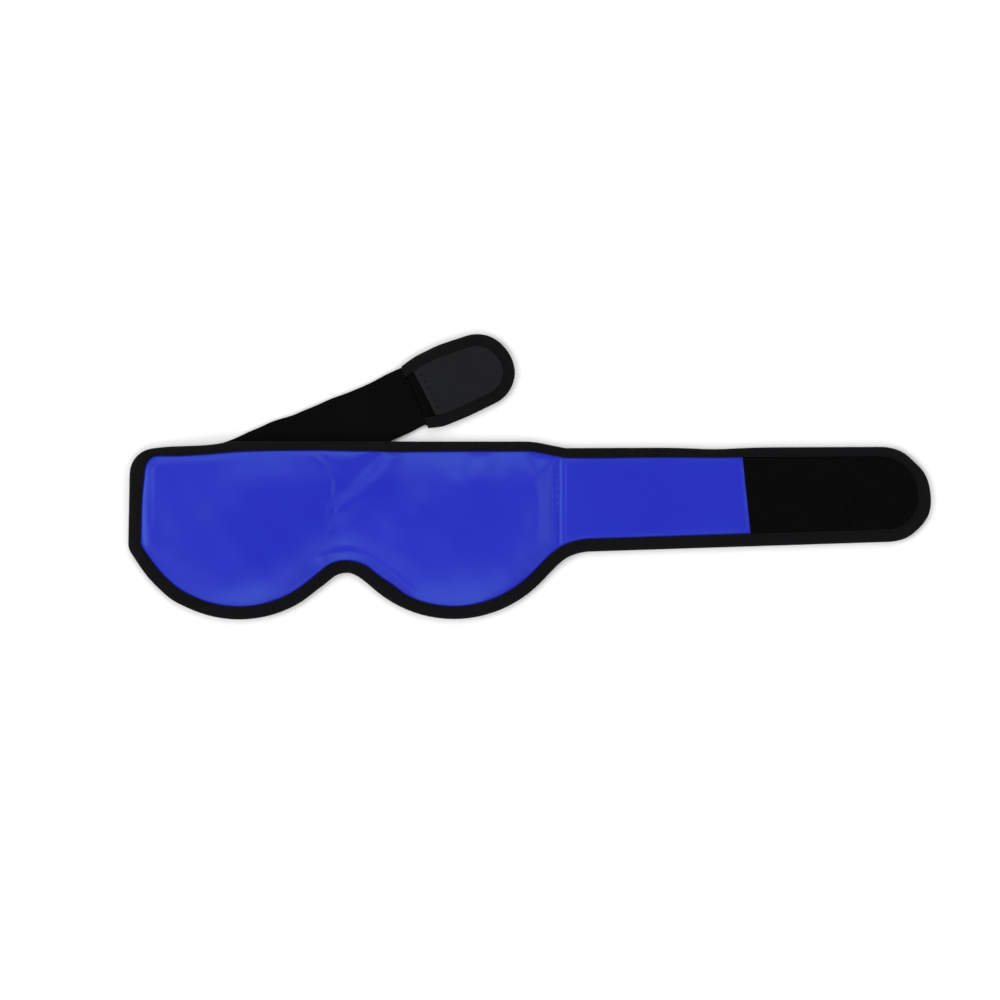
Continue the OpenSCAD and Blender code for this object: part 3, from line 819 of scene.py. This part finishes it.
seamStart = lambda y: np.full_like(np.asarray(y, float), pillow["seamX"])
strapLining = strapSheet("strapLining", 3.0, 200, 24, seamStart, 400, 2.8, 0.58, backCloth)
strapFoam = strapSheet("strapFoam", 3.4, 150, 16, seamStart, 400, 3.42, 0.94, coreFoam)
blueXy = strapGrid(3.0, 200, 84, seamStart, 189.5)
blueU = np.linspace(0, 1, 200)[:, None]
blueXy[..., 0] = pillow["seamX"] + (loopX(blueXy[..., 1]) - 0.12 - pillow["seamX"]) * blueU
blueX, blueY = blueXy[..., 0], blueXy[..., 1]
blueLow = 4.4 - sink(blueX, blueY)
blueTop = blueLow + 0.55 + strapPuff(blueX, blueY, np.maximum(depth(blueXy, strapRing), 0))
strapFace = shell("strapFace", layer(blueXy, blueTop), layer(blueXy, blueLow), blueXy, faceCloth)
loopPatch = strapSheet("loopPatch", 3.6, loopSpec["columns"], loopSpec["rows"], loopX, 400, 4.4, 0.5,
                       loopPile,
                       pileHeight)


def rowStitches(name, a, b, z, pitch, finish, size=(2.3, 0.45, 0.32)):
    # a straight row of stitches from a to b, at height z, or on the surface that z gives
    a, b = np.array(a, float), np.array(b, float)
    count = int(np.linalg.norm(b - a) // pitch)
    at = a + (np.arange(count)[:, None] + 0.5) / count * (b - a)
    heights = z(at[:, 0], at[:, 1]) if callable(z) else np.full(count, z)
    ways = np.tile(np.append(b - a, 0), (count, 1))
    return threads(name, np.concatenate([at, heights[:, None]], 1), ways, finish, size)


seamStitches = rowStitches("seamStitches", [102.1, -16], [102.1, 24], lambda x, y: topOfPad(x, y) + 0.02, 3.4,
                           blueThread, (2.2, 0.4, 0.3))
loopStitches = rowStitches("loopPatchStitches", [197.6, -17.5], [194.0, 22], 3.3, 3.4, darkThread)
print("right strap made")

# ---- the left strap, folded under the pillow, and its tab
elastic = {"half": 15.05, "thickness": 1.5, "end": 150.5, "liftFrom": 137.5, "liftTo": 142, "lift": 1.0,
           "waveS": [0, 45, 60, 73, 85, 100, 120, 130, 140, 152],
           "waveT": [0, 0.2, 0.3, 0.45, -0.35, -0.45, -0.75, -0.25, 0.35, 0.2]}
tab = {
    "plan": [[141.8, -16.6, 0.6, 1], [149.5, -18.9, 16, 1], [163, -19, 40, 1],
             [188.2, -17.6, 17, 1], [194.4, -1.5, 20, 1], [187.6, 16.6, 17, 1],
             [163, 18.6, 40, 1], [150, 17.9, 30, 1], [141.8, 15.9, 0.6, 0]],
    "width": 5.4, "thickness": 0.5, "height": 3.7, "low": 0.05, "pitch": 3.4,
    "patchStart": 147.4, "patchTurn": 4.1, "trim": [1.2, 1.9],
}


def bandShape(s, high, low, half=elastic["half"]):
    # rows across the strap: low waves along its edges, ribs that fade at the edges
    t = np.linspace(-1, 1, 31)
    side = np.interp(s, elastic["waveS"], elastic["waveT"])
    edge = 0.12 * np.sin(s / 5.1) + 0.08 * np.sin(s / 2.3)
    across = side[:, None] + t[None] * (half + edge[:, None])
    x, y = fromStrap(s[:, None] + 0 * across, across)
    edgeRound = 0.16 * t[None] ** 6
    ribs = 0.05 * np.cos(t[None] * 15 * math.pi) * (1 - t[None] ** 8)
    uv = np.stack([across, np.broadcast_to(s[:, None], across.shape)], -1)
    return (np.stack([x, y, high[:, None] - edgeRound + ribs + 0 * x], -1),
            np.stack([x, y, low[:, None] + edgeRound * 0.6 + 0 * x], -1), uv)


bandS = np.linspace(3.0, elastic["end"], 300)
rise = 0.03 + elastic["lift"] * smooth((bandS - elastic["liftFrom"]) / (elastic["liftTo"] - elastic["liftFrom"]))
bandLow = rise + 0.02 * np.sin(bandS / 7)
bandOuter, bandInner, bandUv = bandShape(bandS, bandLow + elastic["thickness"] - 0.06, bandLow)
elasticBand = shell("elasticBand", bandOuter[::-1][:, ::-1], bandInner[::-1][:, ::-1], bandUv[::-1][:, ::-1],
                    elasticCloth, 60)

# The sewn end goes from the back cloth round the fold and meets the strap's run.
turnT = np.linspace(0, 1, 15)[1:-1] * math.pi
rootS = np.concatenate([np.linspace(8.0, 0.0, 8), -0.85 * np.sin(turnT), np.linspace(0.0, 2.95, 5)])
rootZ = np.concatenate([np.full(8, 2.35), 0.76 + 1.59 * (1 + np.cos(turnT)) / 2, np.full(5, 0.76)])
rootWay = np.stack([np.gradient(rootS), np.gradient(rootZ)], 1)
rootWay /= np.linalg.norm(rootWay, axis=1)[:, None]
rootAcross = np.linspace(-elastic["half"], elastic["half"], 31)
foldSlope = math.tan(math.radians(drape["angle"] / 2))


def rootSide(offset):
    s = rootS - rootWay[:, 1] * offset
    z = rootZ + rootWay[:, 0] * offset
    pull = smooth(1 - np.arange(len(rootS)) / 22)
    sGrid = s[:, None] + rootAcross[None] * foldSlope * pull[:, None]
    x, y = fromStrap(sGrid, np.broadcast_to(rootAcross[None], sGrid.shape))
    return np.stack([x, y, np.broadcast_to(z[:, None], x.shape)], -1)


rootUv = np.stack(np.broadcast_arrays(rootAcross[None], runLength(np.stack([rootS, rootZ], 1))[:, None]), -1)
elasticRoot = shell("elasticRoot", rootSide(0.3), rootSide(-0.3), rootUv, elasticCloth, 60)


def tabPoint(xy, z):
    x, y = fromStrap(xy[..., 0], xy[..., 1])
    return np.stack([x, y, z + 0 * x], -1)


def onTab(shape):
    return tabPoint(shape[..., :2], shape[..., 2])


tabGuide = outline(tab["plan"])[:-1]
tabS = np.linspace(tab["trim"][0], runLength(tabGuide)[-1] - tab["trim"][1], 170)
flatDrop = lambda x, y: 0 * x
tabTapeOuter, tabTapeInner, tabTapeUv = tapeShape(tab["plan"], tabS, tab, flatDrop, closed=False)
tabTape = shell("tabTape", onTab(tabTapeOuter), onTab(tabTapeInner), tabTapeUv, tapeCloth, 60)


def tabGrid(inset, columns, rows, start, turn=0.0):
    # columns across the tab, from a line near its start to its round end
    ring = outline(tab["plan"], inset)[:-1]
    tip = int(np.argmax(ring[:, 0]))
    lowEdge, highEdge = ring[:tip + 1], ring[tip:][::-1]
    last = ring[:, 0].max() - 0.03
    u = 1 - (1 - np.linspace(0, 1, columns)) ** 1.5
    s0 = start + (last - start) * u
    tLow, tHigh = np.interp(s0, lowEdge[:, 0], lowEdge[:, 1]), np.interp(s0, highEdge[:, 0], highEdge[:, 1])
    t = tLow[:, None] + (tHigh - tLow)[:, None] * np.linspace(0, 1, rows)
    first = start - t * math.tan(math.radians(turn))
    return np.stack([first + (last - first) * u[:, None], t], -1)


def tabSheet(name, inset, columns, rows, start, low, thickness, finish, turn=0.0, crown=0.0):
    xy = tabGrid(inset, columns, rows, start, turn)
    ring = outline(tab["plan"], inset)
    d = np.maximum(depth(xy, ring), 0)
    d = np.minimum(d, np.maximum(xy[..., 0] - start + xy[..., 1] * math.tan(math.radians(turn)), 0))
    top = low + thickness + crown * (1 - np.exp(-d / 0.6))
    return shell(name, tabPoint(xy, top), tabPoint(xy, low), xy, finish)


tabBacking = tabSheet("tabBacking", 1.4, 70, 24, 142.0, 0.56, 0.42, backCloth)
tabFoam = tabSheet("tabFoam", 1.7, 50, 18, elastic["end"] + 0.2, 1.04, 1.3, coreFoam)
hookPatch = tabSheet("hookPatch", tab["width"] + 0.2, 90, 40, tab["patchStart"], 2.66, 0.62, hookBase,
                     tab["patchTurn"], 0.12)
hookGrid = {"pitchS": 1.42, "pitchT": 1.32, "height": 0.62, "radius": 0.11, "reach": 0.42}


def hooks(name, finish):
    # rows of small hooks: a stem that rises and bends over by a quarter circle, turned to and fro by row
    s, t = np.meshgrid(np.arange(149.5, 190, hookGrid["pitchS"]), np.arange(-14.5, 14, hookGrid["pitchT"]),
                       indexing="ij")
    t = t + 0.5 * hookGrid["pitchT"] * (np.arange(len(s)) % 2)[:, None]
    way = np.broadcast_to(np.where(np.arange(len(s)) % 2 == 0, 1.0, -1.0)[:, None], s.shape)
    ring = outline(tab["plan"], tab["width"] + 1.2)
    xy = np.stack([s, t], -1)
    inside = (depth(xy,
                    ring) > 0) & (s + t * math.tan(math.radians(tab["patchTurn"])) > tab["patchStart"] + 2.6)
    s, t, way = s[inside], t[inside], way[inside]
    a = np.linspace(0, 1, 6)
    bend = np.clip(a - 0.4, 0, 1) / 0.6 * 2.3
    lineS = np.where(a < 0.4, 0, hookGrid["reach"] / 2 * (1 - np.cos(bend)))
    lineZ = np.where(a < 0.4, a / 0.4 * 0.36, 0.36 + hookGrid["reach"] / 2 * np.sin(bend))
    turn = np.arange(5) * 2 * math.pi / 5
    fat = hookGrid["radius"] * np.array([1.25, 1, 1, 1, 0.9, 0.5])
    ds, dz = np.gradient(lineS), np.gradient(lineZ)
    size = np.hypot(ds, dz)
    ds, dz = ds / size, dz / size
    one = np.stack([lineS[:, None] - dz[:, None] * fat[:, None] * np.cos(turn),
                    fat[:, None] * np.sin(turn), lineZ[:, None] + ds[:, None] * fat[:,
                                                                                    None] * np.cos(turn)], -1)
    points = np.stack([s[:, None, None] + one[None, ..., 0] * way[:, None, None],
                       t[:, None, None] + one[None, ..., 1] * way[:, None, None],
                       3.3 + 0 * s[:, None, None] + one[None, ..., 2]], -1)
    faces = gridFaces(6, 5, True)
    ends = np.array([np.arange(5)[::-1], 25 + np.arange(5)])
    step = (np.arange(len(s)) * 30)[:, None, None]
    allFaces, caps = (faces + step).reshape(-1, 4), (ends[:, ::-1] + step).reshape(-1, 5)
    world = onTab(points)
    uvs = np.zeros((allFaces.size + caps.size, 2))
    piece = makeMesh(name, world.reshape(-1, 3), [allFaces, caps], uvs, finish, 80)
    return piece


hookPile = hooks("hooks", hookWire)


def tabRow(name, a, b, z, finish, pitch=3.4):
    a3, b3 = fromStrap(*a), fromStrap(*b)
    return rowStitches(name, a3, b3, z, pitch, finish)


def tabEdgeStitches(name):
    guide, line = outline(tab["plan"])[:-1], outline(tab["plan"], tab["width"] - 1.2)[:-1]
    total = runLength(guide)[-1]
    count = int(total // tab["pitch"])
    at = (np.arange(count) + 0.5) * total / count
    here, ahead = along(line, guide, at), along(line, guide, at + 0.4)
    z = tab["low"] + tab["height"] - 0.12
    a, b = tabPoint(here, z), tabPoint(ahead, z)
    return threads(name, a, b - a, darkThread)


tabStitches = tabEdgeStitches("tabTapeStitches")
hookTurn = math.tan(math.radians(tab["patchTurn"]))
hookStitches = tabRow("hookPatchStitches", (150.1 + 11 * hookTurn, -11), (150.1 - 10 * hookTurn, 10), 3.33,
                      darkThread)
joinStitches = tabRow("tabJoinStitches", (144.2, -12.0), (144.2, 11.5), 2.48, darkThread)
anchorA, anchorB = fromStrap(-4.6 - 9 * foldSlope, -9), fromStrap(-4.6 + 9 * foldSlope, 9)
anchorStitches = rowStitches("anchorStitches", anchorA, anchorB, lambda x, y: under(x, y) - 0.05, 3.4,
                             darkThread)
print("left strap and tab made")

# ---- what each piece stands for, moves with and is made of
fold = pillow["foldWidth"] * 0.001
nose = dict(start=(-fold, 0, 0), end=(fold, 0, 0))
seam = dict(start=(0.1028, 0, 0), end=(strap["bendEnd"] * 0.001, 0, 0))


def metres(s, t, z):
    x, y = fromStrap(s, t)
    return (x * 0.001, y * 0.001, z * 0.001)


stretchPart = dict(start=metres(2, 0, 0.8), end=metres(elastic["liftFrom"], 0, 0.8))
rootTurn = dict(start=metres(0, 0, 2.3), end=metres(0, 0, 0.8))

table = [
    (faceCover, ("left_pad", "right_pad", nose), ("front_cover_left", "front_cover_right"), "face_cloth"),
    (backPanel, ("left_pad", "right_pad", nose), ("back_cover_left", "back_cover_right"), "back_cloth"),
    (padTape, ("left_pad", "right_pad", nose), ("binding_left", "binding_right"), "binding_tape"),
    (padStitches, ("left_pad", "right_pad", nose), ("binding_stitches_left", "binding_stitches_right"),
     "thread"),
    (packs["Left"][0], "left_pad", ("pouch_back_left",), "pouch_film"),
    (packs["Left"][1], "left_pad", ("pouch_front_left",), "pouch_film"),
    (packs["Left"][2], "left_pad", ("gel_left",), "gel"),
    (packs["Right"][0], "right_pad", ("pouch_back_right",), "pouch_film"),
    (packs["Right"][1], "right_pad", ("pouch_front_right",), "pouch_film"),
    (packs["Right"][2], "right_pad", ("gel_right",), "gel"),
    (seamStitches, "right_pad", ("seam_stitches",), "thread"),
    (strapTape, ("right_pad", "right_strap", seam), ("strap_binding",), "binding_tape"),
    (strapStitches, ("right_pad", "right_strap", seam), ("strap_binding_stitches",), "thread"),
    (strapFace, ("right_pad", "right_strap", seam), ("strap_face",), "face_cloth"),
    (strapFoam, ("right_pad", "right_strap", seam), ("strap_foam",), "core_foam"),
    (strapLining, ("right_pad", "right_strap", seam), ("strap_lining",), "back_cloth"),
    (loopPatch, "right_strap", ("loop_patch",), "loop_pile"),
    (loopStitches, "right_strap", ("loop_patch_stitches",), "thread"),
    (elasticRoot, ("left_pad", "left_strap", rootTurn), ("strap_anchor",), "elastic"),
    (anchorStitches, "left_pad", ("anchor_stitches",), "thread"),
    (elasticBand, ("left_strap", "hook_tab", stretchPart), ("elastic_strap",), "elastic"),
    (tabTape, "hook_tab", ("tab_binding",), "binding_tape"),
    (tabBacking, "hook_tab", ("tab_backing",), "back_cloth"),
    (tabFoam, "hook_tab", ("tab_foam",), "core_foam"),
    (tabStitches, "hook_tab", ("tab_binding_stitches",), "thread"),
    (hookPatch, "hook_tab", ("hook_patch",), "hook_pile"),
    (hookPile, "hook_tab", (), "hook_pile"),
    (hookStitches, "hook_tab", ("hook_patch_stitches",), "thread"),
    (joinStitches, "hook_tab", ("tab_join_stitches",), "thread"),
]
for piece, moves, nodes, slot in table:
    if isinstance(moves, str):
        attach(piece, moves)
    else:
        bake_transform(piece)
    if nodes:
        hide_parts(*nodes)


def areaOf(grid):
    # area of a grid's squares, from their diagonals
    a, b = grid[1:, 1:] - grid[:-1, :-1], grid[1:, :-1] - grid[:-1, 1:]
    return float(np.linalg.norm(np.cross(a, b), axis=-1).sum() / 2)


areaOf(layer(strapGrid(3.0, 200, 24, seamStart, 400),
                                                              0 * np.zeros((200, 24))))
areaOf(tabPoint(tabGrid(1.4, 70, 24, 142.0), 0))
for side in ("Left", "Right"):
    for layerOfFilm in packs[side][:2]:
        film = np.empty(len(layerOfFilm.data.vertices) * 3, np.float32)
        layerOfFilm.data.vertices.foreach_get("co", film)
print("pieces tied to the frame")

# ---- floor, light and camera
studio = {"zenith": 0.15, "horizon": 0.7, "lift": 41, "spread": 40,
          "left": 1.3, "far": 0.9, "near": 0.95, "right": 0.65}
floorMesh = bpy.data.meshes.new("floor")
floorMesh.from_pydata([(-6, -6, -0.0002), (6, -6, -0.0002), (6, 6, -0.0002), (-6, 6, -0.0002)], [],
                      [(0, 1, 2, 3)])
floor = bpy.data.objects.new("floor", floorMesh)
bpy.context.scene.collection.objects.link(floor)
paper = bpy.data.materials.new("paleFloor")
paper.use_nodes = True
paper.node_tree.nodes["Principled BSDF"].inputs["Base Color"].default_value = (0.96, 0.96, 0.96, 1)
paper.node_tree.nodes["Principled BSDF"].inputs["Roughness"].default_value = 0.9
paper.node_tree.nodes["Principled BSDF"].inputs["Specular IOR Level"].default_value = 0.1
floorMesh.materials.append(paper)

world = bpy.data.worlds.new("studio")
bpy.context.scene.world = world
world.use_nodes = True
world.node_tree.nodes["Background"].inputs["Color"].default_value = (1, 1, 1, 1)
skyPlace = world.node_tree.nodes.new("ShaderNodeTexCoord")
skySplit = world.node_tree.nodes.new("ShaderNodeSeparateXYZ")
skyShade = world.node_tree.nodes.new("ShaderNodeMapRange")
skyShade.inputs["From Min"].default_value, skyShade.inputs["From Max"].default_value = 0.3, 1.0
skyShade.inputs["To Min"].default_value, skyShade.inputs["To Max"].default_value = studio["horizon"], studio["zenith"]
join(world.node_tree, skyPlace.outputs["Generated"], skySplit.inputs[0])
join(world.node_tree, skySplit.outputs[2], skyShade.inputs["Value"])
join(world.node_tree, skyShade.outputs[0], world.node_tree.nodes["Background"].inputs["Strength"])


def softSun(name, strength, azimuth, elevation, spread):
    # a broad sun that shines from an azimuth and elevation in degrees
    data = bpy.data.lights.new(name, "SUN")
    data.energy, data.angle = strength, math.radians(spread)
    lamp = bpy.data.objects.new(name, data)
    lamp.rotation_euler = (math.radians(90 - elevation), 0, math.radians(azimuth + 90))
    bpy.context.scene.collection.objects.link(lamp)
    return lamp


for name, azimuth in (("left", 180), ("far", 90), ("near", 270), ("right", 0)):
    softSun(name + "Light", studio[name], azimuth, studio["lift"], studio["spread"])

camera = {"at": [74.2, 3.9], "across": 485.0, "lens": 120.0, "sensor": 36.0, "level": 4.0}
lens = bpy.data.cameras.new("camera")
lens.lens, lens.sensor_width = camera["lens"], camera["sensor"]
viewer = bpy.data.objects.new("camera", lens)
distance = camera["across"] * camera["lens"] / camera["sensor"]
viewer.location = (camera["at"][0] * 0.001, camera["at"][1] * 0.001, (camera["level"] + distance) * 0.001)
bpy.context.scene.collection.objects.link(viewer)
bpy.context.scene.camera = viewer
bpy.context.scene.view_settings.view_transform = "Standard"

print("scene ready")
